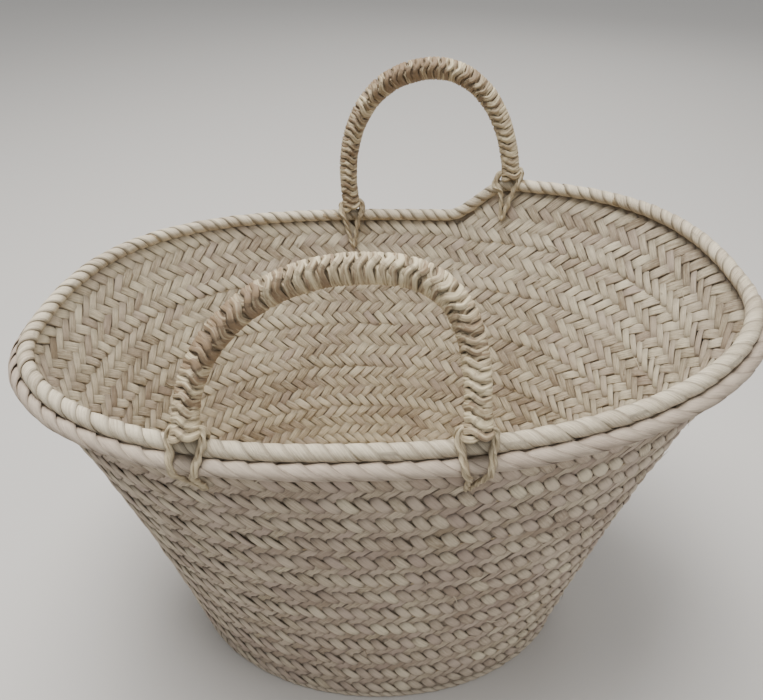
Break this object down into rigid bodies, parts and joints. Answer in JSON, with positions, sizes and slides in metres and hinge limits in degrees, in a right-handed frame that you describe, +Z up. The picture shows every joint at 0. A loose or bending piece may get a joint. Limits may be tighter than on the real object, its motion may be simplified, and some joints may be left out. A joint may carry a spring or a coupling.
{
  "type": "basket",
  "caption": "Oval flared market basket of spirally sewn herringbone palm-leaf plait, with rolled rim and two rope-wrapped arch handles that fold.",
  "frame": {"origin": "centre of the underside of the oval base, on the surface that the basket stands on", "axes": "+X along the long way of the mouth, to the end whose rim stands higher; +Y to the back wall, which flares most; +Z up"},
  "size_m": [0.5058, 0.3716, 0.4243],
  "materials": {
    "plaited_leaf": "dry matt straw",
    "lacing_cord": "dry matt straw cord",
    "roll_core": "bundle of dry leaf",
    "leaf_binding": "dry leaf with a faint sheen",
    "pink_leaf_binding": "dry leaf with a faint sheen",
    "lashing_cord": "twisted leaf cord",
    "rope_core": "twisted leaf rope",
    "handle_cord": "twisted leaf cord"
  },
  "bodies": {
    "basket": {"base_centre": "plaited_leaf", "base_turn_1": "plaited_leaf", "base_turn_2": "plaited_leaf", "base_seam_cord_1": "lacing_cord", "base_seam_cord_2": "lacing_cord", "wall_turn_1": "plaited_leaf", "wall_turn_2": "plaited_leaf", "wall_turn_3": "plaited_leaf", "wall_turn_4": "plaited_leaf", "wall_turn_5": "plaited_leaf", "wall_turn_6": "plaited_leaf", "wall_turn_7": "plaited_leaf", "wall_seam_cord_1": "lacing_cord", "wall_seam_cord_2": "lacing_cord", "wall_seam_cord_3": "lacing_cord", "wall_seam_cord_4": "lacing_cord", "wall_seam_cord_5": "lacing_cord", "wall_seam_cord_6": "lacing_cord", "top_roll_core": "roll_core", "top_roll_binding": "leaf_binding", "outer_roll_core": "roll_core", "outer_roll_binding": "pink_leaf_binding", "foot_ring_core": "roll_core", "foot_ring_binding": "leaf_binding", "front_left_lashing": "lashing_cord", "front_right_lashing": "lashing_cord", "back_left_lashing": "lashing_cord", "back_right_lashing": "lashing_cord"},
    "front_handle": {"front_handle_core": "rope_core", "front_handle_wrap": "handle_cord"},
    "back_handle": {"back_handle_core": "rope_core", "back_handle_wrap": "handle_cord"}
  },
  "joints": [
    {"name": "front_handle_swing", "type": "hinge", "parent": "basket", "child": "front_handle", "pos_m": [-0.027, -0.12644, 0.31048], "axis": [0.9988, -0.0322, 0.0371], "range_deg": [-50, 115]},
    {"name": "back_handle_swing", "type": "hinge", "parent": "basket", "child": "back_handle", "pos_m": [0.0445, 0.1977, 0.3128], "axis": [0.9582, -0.1199, 0.2599], "range_deg": [-80, 90]}
  ]
}
